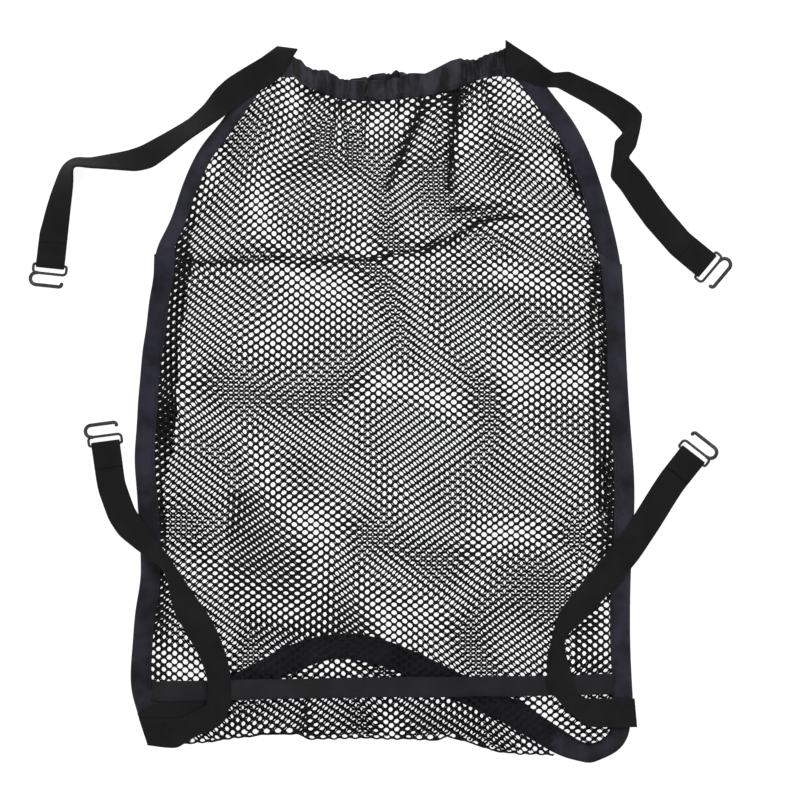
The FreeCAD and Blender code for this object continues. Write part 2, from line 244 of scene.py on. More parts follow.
class Finish:
    # a material under construction, with the ways in that every finish here uses

    def __init__(self, name, constants):
        self.material = bpy.data.materials.new(name)
        self.material.use_nodes = True
        self.tree = self.material.node_tree
        self.tree.nodes.clear()
        self.shader = addNode(self.tree, "ShaderNodeBsdfPrincipled", {}, constants)
        output = addNode(self.tree, "ShaderNodeOutputMaterial")
        self.tree.links.new(self.shader.outputs[0], output.inputs[0])
        self.place = addNode(self.tree, "ShaderNodeTexCoord").outputs["Object"]

    def noise(self, size, detail=3.0, stretch=(1, 1, 1)):
        spot = addNode(self.tree, "ShaderNodeMapping", {}, {"Vector": self.place, "Scale": stretch}).outputs[0]
        inputs = {"Vector": spot, "Scale": 1 / size, "Detail": detail}
        return Amount(self.tree, addNode(self.tree, "ShaderNodeTexNoise", {}, inputs).outputs[0])

    def cloth(self):
        # metres across and along the piece's own tape
        parts = addNode(self.tree, "ShaderNodeSeparateXYZ", {}, {
            0: addNode(self.tree, "ShaderNodeUVMap", {"uv_map": "cloth"}).outputs[0]})
        return Amount(self.tree, parts.outputs[0]), Amount(self.tree, parts.outputs[1])

    def ramp(self, amount, *stops):
        return addNode(self.tree, "ShaderNodeValToRGB", {"stops": stops}, {0: amount}).outputs[0]

    def blend(self, amount, one, other):
        inputs = {0: amount, 6: one, 7: other}
        return addNode(self.tree, "ShaderNodeMix", {"data_type": "RGBA"}, inputs).outputs[2]

    def finish(self, colour, roughness, height, depth):
        links = {"Base Color": colour, "Roughness": roughness}
        links["Normal"] = addNode(self.tree, "ShaderNodeBump", {}, {
            "Height": height, "Distance": depth, "Strength": 1.0}).outputs[0]
        for key, value in links.items():
            value = value.socket if isinstance(value, Amount) else value
            self.tree.links.new(value, self.shader.inputs[key])
        return self.material


def grey(level, blue=1.0):
    return (level, level, level * blue)


# Finishes

def makeWebbing():
    look = {"dark": 0.0055, "light": 0.0125, "weftPitch": 1.15, "warpPitch": 1.5, "relief": 0.10}
    made = Finish("black_webbing", {"Specular IOR Level": 0.16, "Sheen Weight": 0.04, "Sheen Roughness": 0.6})
    across, run = made.cloth()
    weft, warp = run.wave(look["weftPitch"] * mm), across.wave(look["warpPitch"] * mm)
    weave = weft * 0.6 + warp * weft * 0.5
    patches, fuzz = made.noise(0.018), made.noise(0.0011, 2.0)
    tone = patches * 0.75 + weave * 0.12 + fuzz * 0.25
    colour = made.ramp(tone, (0.30, grey(look["dark"])), (0.80, grey(look["light"])))
    return made.finish(colour, 0.78 + fuzz * 0.16, weave + fuzz * 0.9, look["relief"] * mm)


def makeBinding():
    look = {"ground": (0.0055, 0.0054, 0.0090), "paintedSheen": (0.026, 0.025, 0.042), "threadPitch": 0.42}
    made = Finish("navy_satin_binding", {"Specular IOR Level": 0.22, "Sheen Weight": 0.05,
                                         "Sheen Roughness": 0.35, "Sheen Tint": (0.55, 0.6, 1, 1)})
    across, run = made.cloth()
    twill = (run + across * 0.6).wave(look["threadPitch"] * mm)
    patches, soft = made.noise(0.034, 2.0), made.noise(0.009, 3.0)
    tone = patches * 0.7 + soft * 0.4 + twill * 0.03
    # painted sheen: the patches lift the base colour from the ground colour towards the painted sheen colour where
    # the satin would catch light, and make those places glossier
    colour = made.ramp(tone, (0.42, look["ground"]), (0.66, look["paintedSheen"]))
    return made.finish(colour, 0.62 - patches * 0.25 + soft * 0.08, twill * 0.35 + soft, 0.09 * mm)


def makeCasing():
    look = {"ground": (0.0040, 0.0040, 0.0058), "paintedSheen": (0.033, 0.033, 0.045), "threadPitch": 0.5}
    made = Finish("navy_gathered_casing", {"Specular IOR Level": 0.2, "Sheen Weight": 0.08,
                                           "Sheen Roughness": 0.4, "Sheen Tint": (0.6, 0.65, 1, 1)})
    across, run = made.cloth()
    weave = run.wave(look["threadPitch"] * mm) * across.wave(look["threadPitch"] * mm)
    # painted shade and highlight: the noise stretched along Y paints the folds' shaded valleys dark and their lit
    # ridges light, and the broad patches paint highlights, from the ground colour up to the painted sheen colour;
    # the streaks also feed the bump
    patches, soft = made.noise(0.020, 2.0), made.noise(0.0065, 3.0, (1, 0.22, 1))
    colour = made.ramp(patches * 0.45 + soft * 0.6, (0.455, look["ground"]), (0.61, look["paintedSheen"]))
    return made.finish(colour, 0.55 - patches * 0.15 + soft * 0.1, weave * 0.05 + soft * 1.5, 0.5 * mm)


def makeTape():
    look = {"dark": 0.0125, "light": 0.0225, "ribPitch": 0.9}
    made = Finish("charcoal_cross_tape", {"Specular IOR Level": 0.18, "Sheen Weight": 0.05,
                                          "Sheen Roughness": 0.5})
    across, run = made.cloth()
    ribs = run.wave(look["ribPitch"] * mm) * 0.6 + across.wave(0.7 * mm) * 0.4
    patches, fuzz = made.noise(0.022, 2.0), made.noise(0.0012, 2.0)
    tone = patches * 0.7 + ribs * 0.06 + fuzz * 0.3
    colour = made.ramp(tone, (0.35, grey(look["dark"], 1.12)), (0.75, grey(look["light"], 1.2)))
    return made.finish(colour, 0.7 + fuzz * 0.15, ribs + fuzz, 0.08 * mm)


def makeNet():
    look = {"dark": (0.0030, 0.0030, 0.0034), "light": (0.0105, 0.0105, 0.0118)}
    made = Finish("black_knitted_net", {"Specular IOR Level": 0.16, "Sheen Weight": 0.03,
                                        "Sheen Roughness": 0.5})
    loops, patches = made.noise(0.0009, 2.0), made.noise(0.03, 2.0)
    colour = made.ramp(loops * 0.6 + patches * 0.5, (0.35, look["dark"]), (0.75, look["light"]))
    return made.finish(colour, 0.68 + loops * 0.2, loops, 0.14 * mm)


def makeElastic():
    made = Finish("ribbed_elastic", {"Specular IOR Level": 0.3})
    across, run = made.cloth()
    ribs = across.wave(1.3 * mm) + run.wave(0.9 * mm) * 0.4
    fuzz = made.noise(0.001)
    return made.finish(made.ramp(fuzz + ribs * 0.1, (0.3, grey(0.010)), (0.8, grey(0.024))),
                       0.6 + fuzz * 0.2, ribs, 0.12 * mm)


def makeThread():
    made = Finish("black_thread", {"Specular IOR Level": 0.25})
    twist, patches = made.noise(0.0004, 2.0, (1, 3, 1)), made.noise(0.02)
    return made.finish(made.ramp(twist * 0.5 + patches * 0.5, (0.35, grey(0.007)), (0.75, grey(0.016, 1.1))),
                       0.5 + twist * 0.25, twist, 0.05 * mm)


def makeHookMetal():
    look = {"coat": (0.036, 0.036, 0.038), "worn": (0.095, 0.095, 0.10)}
    made = Finish("gunmetal_hook", {"Specular IOR Level": 0.45, "Coat Weight": 0.15, "Coat Roughness": 0.35})
    scuffs, patches, grain = made.noise(0.0014, 4.0, (1, 1, 3)), made.noise(0.012), made.noise(0.0003, 2.0)
    wear = made.ramp(scuffs * 0.7 + patches * 0.5, (0.55, grey(0.0)), (0.85, grey(1.0)))
    amount = addNode(made.tree, "ShaderNodeSeparateColor", {}, {0: wear}).outputs[0]
    colour = made.blend(amount, (*look["coat"], 1), (*look["worn"], 1))
    made.tree.links.new((Amount(made.tree, amount) * 0.25 + 0.55).socket, made.shader.inputs["Metallic"])
    return made.finish(colour, 0.36 + patches * 0.14 + grain * 0.08, grain + scuffs * 0.8, 0.02 * mm)


def makeFloorFinish():
    made = Finish("pale_floor", {"Specular IOR Level": 0.1, "Emission Color": (1, 1, 1, 1),
                                 "Emission Strength": 0.9})
    cloud = made.noise(0.6, 2.0)
    colour = made.ramp(cloud, (0.3, grey(0.29)), (0.7, grey(0.31)))
    return made.finish(colour, 0.9 + cloud * 0.05, cloud, 0.02 * mm)


webbing, binding, casing, tape = makeWebbing(), makeBinding(), makeCasing(), makeTape()
netYarn, elastic, thread, hookMetal = makeNet(), makeElastic(), makeThread(), makeHookMetal()
log("finishes made")


# Geometry nodes: the knitted lattice and the rows of stitches

def newTree(name, inputs):
    tree = bpy.data.node_groups.new(name, "GeometryNodeTree")
    tree.interface.new_socket("Geometry", in_out="INPUT", socket_type="NodeSocketGeometry")
    tree.interface.new_socket("Geometry", in_out="OUTPUT", socket_type="NodeSocketGeometry")
    for label, kind in inputs.items():
        tree.interface.new_socket(label, in_out="INPUT", socket_type="NodeSocket" + kind)
    return tree, addNode(tree, "NodeGroupInput").outputs


def endTree(tree, geometry, material):
    real = addNode(tree, "GeometryNodeRealizeInstances", {}, {0: geometry}).outputs[0]
    tidy = addNode(tree, "GeometryNodeMergeByDistance", {}, {0: real, "Distance": 0.02 * mm}).outputs[0]
    made = addNode(tree, "GeometryNodeSetMaterial", {}, {0: tidy, "Material": material}).outputs[0]
    addNode(tree, "NodeGroupOutput", {}, {0: made})


def growFrom(piece, tree, values):
    modifier = piece.modifiers.new(tree.name, "NODES")
    modifier.node_group = tree
    for item in tree.interface.items_tree:
        if item.in_out == "INPUT" and item.name in values:
            modifier[item.identifier] = values[item.name]
    return settle(piece)


def latticeTree():
    # two grids of cells, one shifted by half a step both ways
    tree, given = newTree("knittedLattice", {"Cell": "Object", "Columns": "Int", "Rows": "Int",
                                             "Column Pitch": "Float", "Row Pitch": "Float", "Yarn": "Material"})

    def sums(operation, a, b):
        return addNode(tree, "ShaderNodeMath", {"operation": operation}, {0: a, 1: b}).outputs[0]

    step = sums("MULTIPLY", given["Column Pitch"], 2.0)
    width = sums("MULTIPLY", sums("SUBTRACT", given["Columns"], 1.0), step)
    length = sums("MULTIPLY", sums("SUBTRACT", given["Rows"], 1.0), given["Row Pitch"])
    grid = addNode(tree, "GeometryNodeMeshGrid", {}, {"Size X": width, "Size Y": length,
                                                      "Vertices X": given["Columns"], "Vertices Y": given["Rows"]})
    shift = addNode(tree, "ShaderNodeCombineXYZ", {}, {0: given["Column Pitch"],
                                                       1: sums("MULTIPLY", given["Row Pitch"], 0.5)})
    between = addNode(tree, "GeometryNodeTransform", {}, {0: grid.outputs[0], "Translation": shift.outputs[0]})
    both = addNode(tree, "GeometryNodeJoinGeometry")
    for part in (grid, between):
        tree.links.new(part.outputs[0], both.inputs[0])
    cell = addNode(tree, "GeometryNodeObjectInfo", {}, {"Object": given["Cell"]}).outputs["Geometry"]
    cells = addNode(tree, "GeometryNodeInstanceOnPoints", {}, {"Points": both.outputs[0], "Instance": cell})
    endTree(tree, cells.outputs[0], given["Yarn"])
    return tree


def stitchTree():
    # a small rounded stitch at every step of a line
    tree, given = newTree("stitchRow", {"Pitch": "Float", "Stitch": "Vector", "Thread": "Material"})
    line = addNode(tree, "GeometryNodeMeshToCurve", {}, {0: given["Geometry"]}).outputs[0]
    even = addNode(tree, "GeometryNodeResampleCurve", {"mode": "LENGTH"}, {0: line, "Length": given["Pitch"]})
    bead = addNode(tree, "GeometryNodeMeshUVSphere", {}, {"Segments": 6, "Rings": 4, "Radius": 1.0}).outputs[0]
    shaped = addNode(tree, "GeometryNodeTransform", {}, {0: bead, "Scale": given["Stitch"]}).outputs[0]
    heading = addNode(tree, "GeometryNodeInputTangent").outputs[0]
    turn = addNode(tree, "FunctionNodeAlignRotationToVector", {"axis": "X"}, {"Vector": heading}).outputs[0]
    row = addNode(tree, "GeometryNodeInstanceOnPoints", {}, {
        "Points": even.outputs[0], "Instance": shaped, "Rotation": turn}).outputs[0]
    endTree(tree, row, given["Thread"])
    return tree


lattice, stitching = latticeTree(), stitchTree()


def stitchRow(name, lines, pitch=2.8, size=(1.05, 0.24, 0.17)):
    vertices, edges = [], []
    for line in lines:
        line = np.asarray(line, float)
        edges += [(len(vertices) + i, len(vertices) + i + 1) for i in range(len(line) - 1)]
        vertices += (line * mm).tolist()
    mesh = bpy.data.meshes.new(name)
    mesh.from_pydata(vertices, edges, [])
    piece = bpy.data.objects.new(name, mesh)
    bpy.context.scene.collection.objects.link(piece)
    growFrom(piece, stitching, {"Pitch": pitch * mm, "Stitch": [s * mm for s in size], "Thread": thread})
    piece.data.polygons.foreach_set("use_smooth", [True] * len(piece.data.polygons))
    return piece


def finished(piece, body, slot, *nodes):
    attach(piece, body)
    if nodes:
        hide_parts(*nodes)
    return piece


def bending(piece, a, b, start, end, slot, *nodes):
    [v * mm for v in start]
    [v * mm for v in end]
    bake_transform(piece)
    if nodes:
        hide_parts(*nodes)
    return piece


def swinging(piece, side, slot, node, leftNode=None):
    # bakes the piece in place and hides its CAD nodes; one CAD node can stand for both halves
    nodes = [n for n in (node, leftNode if side == "left" else None) if n]
    hinge = outline["hingeLevel"]
    bending(piece, "root", "front", (outline[side + "Fixed"], 0, hinge), (split, 0, hinge), slot, *nodes)


# Outline of the bag

outline = {
    "leftEdge": [(-76, 238.5), (-92, 224), (-110.6, 197.6), (-127, 175.2), (-139.6, 147.7), (-149.9, 120.4),
                 (-156.6, 105), (-158.9, 88), (-161.7, 71), (-163.9, 50.4), (-166.2, 35.7), (-168.6, 10),
                 (-171, -20), (-171.8, -41), (-169.6, -76), (-167.9, -105.8), (-167.9, -123.5),
                 (-170.2, -140),
                 (-173.8, -170.6), (-174.6, -190), (-173.6, -205), (-170.4, -217), (-167, -228),
                 (-162.8, -240)],
    "rightEdge": [(95, 241.5), (105, 235), (118, 219), (134, 198), (154, 154),
                  (168, 98), (173.5, 14), (178.2, -75), (175.6, -125), (178.5, -227)],
    "lowestNet": [(-163, -240), (-134, -240.5), (-84, -234), (-58, -233), (-50, -237), (-20, -236),
                  (40, -237.5),
                  (47, -235), (60, -238.5), (74, -243), (84, -246), (100, -247), (131, -249), (180, -249)],
    "casingTop": [(-76, 244), (-66, 242.5), (-61, 241), (-55.3, 238.7), (-51.1, 234.5), (-46.9, 232.4),
                  (-36.4, 231.7),
                  (-31.5, 227.9), (-26.6, 225.4), (-14, 224.5), (-4, 224.2), (4, 224.6), (12, 226.5),
                  (20.3, 228.9),
                  (31.5, 229.3), (41.3, 233.8), (49.7, 238), (56, 239.8), (66.5, 239.4), (79.8, 244.3),
                  (88, 247.6),
                  (93, 249)],
    "casingBottom": [(-76, 226.5), (-60, 226.8), (-56, 222), (-49.7, 219.1), (-39.9, 214.9), (-25.9, 210.7),
                     (4.9, 210), (21, 212.8), (28, 212.1), (46.2, 216.3), (58.8, 219.8), (73.5, 226.1),
                     (86, 227.4), (93, 226)],
    "arch": [(-160, -229), (-113, -207), (-77, -188), (-28, -172), (14, -181), (56, -201), (95, -220),
             (125, -238.5),
             (146, -246), (158, -242.8), (165.3, -236.5), (168.2, -229.5), (169, -222)],
    "bindingWidth": 14.0,
    "foldInner": {"left": [(-165, -158), (-150, -152), (-120, -149), (-100, -149), (-60, -150), (-41, -146),
                           (-13, -142), (15, -141), (45, -140), (64, -135), (85, -132), (115, -131),
                           (140, -127),
                           (160, -120)],
                  "right": [(-140, 158), (-60, 155), (0, 154), (60, 152), (85, 152), (105, 150), (120, 145),
                            (133, 141), (150, 132), (168, 124), (182, 117)]},
    "splitAt": 13.0,
    "leftFixed": -62.0,
    "rightFixed": 88.0,
    "hingeLevel": 6.6,
    # the front net ends short of the bottom binding past this place
    "cornerCut": (122, -215, 5.5),
}
leftEdge, rightEdge = curveThrough(outline["leftEdge"], 1.5), curveThrough(outline["rightEdge"], 1.5)
arch = curveThrough(outline["arch"], 1.5)
split = outline["splitAt"]


def inset(x, y, edge, side):
    # how far inside one of the side edges a place is
    sideways = np.gradient(edge[:, 0]) / np.gradient(edge[:, 1])
    down = edge[::-1]
    slope = np.interp(y, down[:, 1], sideways[::-1])
    return side * (x - np.interp(y, down[:, 1], down[:, 0])) / np.sqrt(1 + slope ** 2)


def bandAt(x, name):
    rows = np.array(outline[name], float)
    return np.interp(x, rows[:, 0], rows[:, 1])


def archAt(x):
    return np.interp(x, arch[:, 0], arch[:, 1])


def frontHeight(x, y):
    inboard = np.minimum(inset(x, y, leftEdge, 1), inset(x, y, rightEdge, -1)) - outline["bindingWidth"] + 2
    swell = 1 - np.exp(-np.maximum(inboard, 0) / 17)
    return 2.1 + 4.2 * swell + 0.4 * waves(x, y, 11, 75) * swell


# The net: flat cells first, then laid and wrinkled as the two faces of the bag

net = {
    "columnPitch": 3.82,
    "rowPitch": 5.66,
    "holeWide": 2.28,
    "holeHigh": 2.03,
    "yarn": 1.0,
    "columns": 50,
    "rows": 94,
    "flatLength": 0.478,
    "returnFlat": (0.285, 0.062),
    "foldFlats": {"left": (0.024, 0.31), "right": (0.02, 0.32)},
    "turnRadius": 2.8,
    "highest": 7.5,
    "mouthGather": 0.17,
    "mouthDip": 14.0,
    "drift": 1.7,
    # creases: both ends, how much cloth they take up, their reach sideways, how far the holes close
    "gathers": [((53, 218), (49, 138), 2.6, 9, 0.28), ((31, 212), (2, 138), 2.4, 8, 0.26),
                ((-27, 213), (-36, 160), 1.3, 6, 0.12), ((-8, 212), (-12, 164), 1.2, 5, 0.12),
                ((72, 226), (84, 160), 1.4, 6, 0.12), ((-46, 219), (-60, 172), 1.2, 6, 0.12),
                ((12, 213), (8, 168), 1.2, 5, 0.1), ((-54, -235), (-50, -200), 1.8, 6, 0.3)],
    "backGathers": [((44, 214), (34, 150), 1.6, 7, 0.12), ((-30, 211), (-20, 150), 1.5, 7, 0.12)],
    # where both faces lie closed up: a line, half its width, how far the holes close
    "bands": [([(-140, 97), (-42, 98.7), (0, 101), (26.6, 103.6), (46.2, 112), (71.4, 125.3),
              (100, 128)], 2.4, 0.30),
              ([(34, 105), (50, 110)], 4.5, 0.22), ([(49, 134), (75, 136), (92, 139)], 1.8, 0.24),
              ([(152, 95), (148.5, 60), (150, 0), (153, -60), (156, -110)], 2.2, 0.36),
              ([(-60, 222), (-40, 211), (0, 207), (46, 212), (74, 222)], 3.5, 0.16),
              ([(-95, -75), (-75, -150), (-10, -160)], 26, 0.11), ([(70, -160), (110, -120)], 24, 0.03),
              ([(149, -140), (149, -188)], 9, 0.17), ([(138, -160), (138.5, -190)], 1.5, 0.3),
              ([(-151, -120), (-156, -190)], 6, 0.18),
              ([(53, 216), (49, 150)], 3.0, 0.18), ([(31, 205), (6, 150)], 2.8, 0.16)],
    "ridge": [(-140, 97), (-42, 98.7), (0, 101), (26.6, 103.6), (46.2, 114.8), (71.4, 125.3), (100, 128)],
}


def netCell():
    # a six-sided cell, so that cells meet corner to corner, with an eight-sided hole
    a, b = net["columnPitch"], net["rowPitch"]
    reach = (a * a + b * b / 4) / 2
    tip, shoulder = reach / a, (reach - b * b / 4) / a
    rim = [(tip, 0), (shoulder, b / 2), (-shoulder, b / 2), (-tip, 0), (-shoulder, -b / 2),
           (shoulder, -b / 2)]
    w, h = net["holeWide"], net["holeHigh"]
    hole = [(w, 0), (w * 0.64, h * 0.71), (0, h), (-w * 0.64, h * 0.71),
            (-w, 0), (-w * 0.64, -h * 0.71), (0, -h), (w * 0.64, -h * 0.71)]
    faces = [(0, 1, 7, 6), (1, 8, 7), (1, 2, 8), (2, 9, 8), (2, 3, 10, 9),
             (3, 4, 11, 10), (4, 12, 11), (4, 5, 12), (5, 13, 12), (5, 0, 6, 13)]
    return makePiece("net_cell", [(x * mm, y * mm, 0) for x, y in rim + hole], faces, netYarn)


def flatNet():
    cell = netCell()
    holder = makePiece("net_flat", [(0, 0, 0)], [], netYarn)
    growFrom(holder, lattice, {"Cell": cell, "Columns": net["columns"], "Rows": net["rows"],
                               "Column Pitch": net["columnPitch"] * mm, "Row Pitch": net["rowPitch"] * mm,
                               "Yarn": netYarn})
    mesh = holder.data
    spots = np.zeros(len(mesh.vertices) * 3)
    mesh.vertices.foreach_get("co", spots)
    faces = [tuple(p.vertices) for p in mesh.polygons]
    for spare in (holder, cell):
        bpy.data.objects.remove(spare)
    return spots.reshape(-1, 3)[:, :2] / mm, faces


netFlat, netFaces = flatNet()
facesPerCell = 10


def cellCentres():
    # the middle of every vertex's own cell, and which vertices ring a hole
    cell = np.repeat(np.arange(len(netFaces) // facesPerCell), facesPerCell)
    lowest, highest = np.full(len(netFlat), len(netFaces)), np.full(len(netFlat), -1)
    for face, number in zip(netFaces, cell):
        for corner in face:
            lowest[corner] = min(lowest[corner], number)
            highest[corner] = max(highest[corner], number)
    ring = lowest == highest
    count = np.maximum(np.bincount(lowest[ring], minlength=cell[-1] + 1), 1)
    middle = np.stack([np.bincount(lowest[ring], weights=netFlat[ring, k], minlength=cell[-1] + 1) / count
                       for k in (0, 1)], axis=1)
    return middle[lowest], ring


netMiddle, netRing = cellCentres()
log(f"net lattice of {len(netFaces)} faces")


def tightness(x, y, creases, bands, ground):
    # how far the holes close, from 0 to 1
    closed = ground + 0 * x
    for (x0, y0), (x1, y1), _, reach, dark in creases:
        t = (y - y0) / (y1 - y0)
        fade = smoothStep(-0.2, 0.0, t) * (1 - smoothStep(0.5, 1.0, t))
        wide = 0.55 * reach * (1.15 - 0.6 * np.clip(t, 0, 1))
        closed = closed + dark * fade * np.exp(-((x - x0 - (x1 - x0) * t) / wide) ** 2)
    for line, wide, dark in bands:
        spots = curveThrough(line, 2.0)
        gap = np.full(len(x), 1e6)
        near = np.nonzero((x > spots[:, 0].min() - 12) & (x < spots[:, 0].max() + 12)
                          & (y > spots[:, 1].min() - 12) & (y < spots[:, 1].max() + 12))[0]
        away = np.hypot(x[near, None] - spots[None, :, 0], y[near, None] - spots[None, :, 1])
        gap[near] = np.min(away, axis=1)
        closed = closed + dark * np.exp(-(gap / wide) ** 2) * (0.8 + 0.4 * waves(x, y, 7, 18))
    return np.clip(closed, 0, 0.76)


def layNet(turn, seed, gather, creases, bands=(), ground=0.0):
    # the flat net drawn in towards the mouth, with its wrinkles; gives places and a lift
    c, s = math.cos(math.radians(turn)), math.sin(math.radians(turn))
    flat = netFlat
    for closing in (True, False):
        u = flat[:, 0] * c - flat[:, 1] * s + 3.0
        v = flat[:, 0] * s + flat[:, 1] * c + 2.0
        drawn = smoothStep(40, 250, v)
        x = 8 + (u - 8) * (1 - gather * drawn)
        y = v - net["mouthDip"] * drawn * np.maximum(0, 1 - ((x - 8) / 92) ** 2)
        x = x + net["drift"] * waves(u, v, seed, 120)
        y = y + net["drift"] * waves(u, v, seed + 1, 120)
        lift = 0 * x
        for (x0, y0), (x1, y1), take, reach, _ in creases:
            t = (y - y0) / (y1 - y0)
            fade = smoothStep(-0.15, 0.05, t) * (1 - smoothStep(0.45, 1.0, t))
            off = x - (x0 + (x1 - x0) * t)
            near = np.exp(-(off / reach) ** 2)
            x = x - take * fade * np.tanh(off / 2.2) * near * 1.2
            lift = lift + 0.55 * take * fade * np.exp(-(off / 3.0) ** 2)
        if closing:
            opened = 1 - tightness(x, y, creases, bands, ground)
            flat = np.where(netRing[:, None], netMiddle + (netFlat - netMiddle) * opened[:, None], netFlat)
    return x, y, lift


def ridgeFold(x, y, lift, take):
    rows = np.array(net["ridge"], float)
    off = y - np.interp(x, rows[:, 0], rows[:, 1])
    first, last = rows[0, 0], rows[-1, 0]
    fade = smoothStep(first - 25, first + 10, x) * (1 - smoothStep(last - 20, last + 10, x))
    y = y - take * fade * np.tanh(off / 2.0) * np.exp(-(off / 9) ** 2)
    return y, lift + 0.7 * take * fade * np.exp(-(off / 3.2) ** 2)


cellCount = {}


def cutNet(name, x, y, z, keep, low=-400, high=400, thickness=None):
    # keeps the faces that are inside and between two X places, and gives them the yarn's thickness
    faces = [f for f in netFaces if keep[f[0]] and keep[f[1]] and keep[f[2]] and keep[f[-1]]
             and low <= (x[f[0]] + x[f[1]] + x[f[2]]) / 3 < high]
    cellCount[name] = len(faces) / facesPerCell
    used = np.unique(np.concatenate([np.array(f) for f in faces]))
    new = np.full(len(x), -1)
    new[used] = np.arange(len(used))
    faces = [tuple(new[list(f)].tolist()) for f in faces]
    piece = makePiece(name, np.stack([x, y, z], axis=1)[used] * mm, faces, netYarn)
    thicken = piece.modifiers.new("yarn", "SOLIDIFY")
    thicken.thickness, thicken.offset = (thickness or net["yarn"]) * mm, 0
    return settle(piece)


def flatArea(x0, x1, lowest):
    # the cloth's area between two X places inside the outline, in square metres
    x, y = np.meshgrid(np.arange(x0, x1, 2.0) + 1, np.arange(-250, 232, 2.0) + 1)
    inside = (inset(x, y, leftEdge, 1) > 12) & (inset(x, y, rightEdge, -1) > 12)
    inside &= (y < bandAt(x, "casingBottom") + 6) & (y > lowest(x))
    return float(inside.sum()) * 4 * mm * mm


def makeNets():
    hidden = outline["bindingWidth"] - 5
    halves = (("left", (-400, split)), ("right", (split, 400)))
    made = []

    # front, which turns under at the bottom
    x, y, lift = layNet(0.6, 21, net["mouthGather"], net["gathers"], net["bands"])
    y, lift = ridgeFold(x, y, lift, 1.7)
    z = np.minimum(frontHeight(x, y) + lift, net["highest"])
    low = bandAt(x, "lowestNet") + 0.5 * waves(x, y, 5, 22)
    radius = net["turnRadius"]
    past = np.clip((low + radius - y) / radius, 0, 4)
    inside = (inset(x, y, leftEdge, 1) > hidden) & (inset(x, y, rightEdge, -1) > hidden)
    inside &= (y < bandAt(x, "casingBottom") + 6) & (y < 231) & (past < 2.9)
    cornerOff = np.min(np.hypot(x[:, None] - arch[None, ::6, 0], y[:, None] - arch[None, ::6, 1]), axis=1)
    cutX, cutY, clear = outline["cornerCut"]
    inside &= ~((x > cutX) & (y < cutY) & (cornerOff < clear))
    inside &= ~((x > cutX) & (y < archAt(x)))
    turnZ = 0.6 + (z - 0.6) * (1 + np.cos(np.minimum(past, math.pi))) / 2
    yTurned = np.where(past > 0, low + radius - radius * np.sin(np.minimum(past, math.pi)), y)
    for side, span in halves:
        piece = cutNet("net_front_" + side, x, yTurned, np.where(past > 0, turnZ, z), inside, *span)
        made.append(("front", side, piece))

    # back, which ends at the bottom binding, and the return under the bottom
    x, y, _ = layNet(-1.7, 47, net["mouthGather"] - 0.05, net["backGathers"], net["bands"])
    z = 0.85 + 0.25 * waves(x, y, 15, 60)
    above = y - archAt(x)
    inside = (inset(x, y, leftEdge, 1) > hidden) & (inset(x, y, rightEdge, -1) > hidden) & (y < 225)
    for side, span in halves:
        made.append(("back", side, cutNet("net_back_" + side, x, y, z, inside & (above > 4), *span)))
    x, y, _ = layNet(4.0, 53, 0.0, [], ground=0.13)
    above = y - archAt(x)
    inside = (inset(x, y, leftEdge, 1) > hidden) & (inset(x, y, rightEdge, -1) > hidden)
    keep = inside & (above < -4) & (y > bandAt(x, "lowestNet") + 1.0) & (x < 128)
    made.append(("return", "", cutNet("net_bottom_return", x, y, 0 * x + 0.6, keep)))

    # the net's turned-in edges beside the side bindings
    for side, edge, sign, seed in (("left", leftEdge, 1, 61), ("right", rightEdge, -1, 71)):
        x, y, _ = layNet(3.5 * sign, seed, 0.2, [], ground=0.34)
        rows = np.array(outline["foldInner"][side], float)
        inner = np.interp(y, rows[:, 0], rows[:, 1]) + 0.8 * waves(x, y, seed, 30)
        keep = (inset(x, y, edge, sign) > 8) & (sign * (inner - x) > 0) & (y < rows[-1, 0]) & (y > rows[0, 0])
        z = 1.75 + 0.15 * waves(x, y, seed, 30)
        made.append(("fold", side, cutNet(f"net_fold_{side}", x, y, z, keep, thickness=0.7)))

    for kind, side, piece in made:
        if kind == "front":
            swinging(piece, side, "net", "front_net_" + side, "front_net_panel")
        elif kind == "back":
            finished(piece, "root", "net", *(["back_net_panel"] if side == "left" else []))
        elif kind == "return":
            finished(piece, "root", "net", "bottom_net_return")
        else:
            finished(piece, "root", "net", side + "_net_fold")
        if kind in ("front", "back"):
            wide = (split + 168 if side == "left" else 170 - split) * mm
            span = (-180, split) if side == "left" else (split, 180)
            lowest = (lambda x: bandAt(x, "lowestNet")) if kind == "front" else archAt
            area, long = flatArea(*span, lowest), net["flatLength"]
            held, rests = ("gathered", ["net_back_" + side]) if kind == "front" else ("laid", ["floor"])
            min(area, wide * long)
            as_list(rests)
        elif kind == "return":
            wide, long = net["returnFlat"]
            wide * long * 0.5
        else:
            wide, long = net["foldFlats"][side]
            cellSize = net["columnPitch"] * net["rowPitch"] * mm * mm
            area = min(cellCount[piece.name] * cellSize, wide * long)
            "net_back_" + side
    log("nets laid")


makeNets()


# Side bindings: satin tape folded over the net's edge, each sewn from two lengths

sideBinding = {"middle": 1.95, "ripple": 0.34, "seamFromInside": 2.0, "overlap": 7.0,
               "widths": {"left": (10.4, 14.2), "right": (14.4, 14.0)}}
bindingSection = [(-1, 0), (-0.97, 0.75), (-0.86, 1.25), (-0.6, 1.5), (-0.2, 1.55), (0.2, 1.5), (0.6, 1.35),
                  (0.72, 1.1), (0.8, 1.3), (0.94, 1.25), (1, 0.5), (1, -0.6), (0.92, -1.25), (0.4, -1.45),
                  (-0.2, -1.5), (-0.8, -1.3), (-0.97, -0.75)]


def puckers(run, across, seed, size):
    # small slanting ripples that fade out at the outer fold
    s, a = run[:, None], across[None, :]
    slant = np.sin((s + a * 5) * math.tau / size + 2.5 * waves(s + 0 * a, a * 7 + 0 * s, seed, 60))
    broad = waves(s + 0 * a, a * 10 + 0 * s, seed + 1, 26)
    return slant * 0.45 + broad


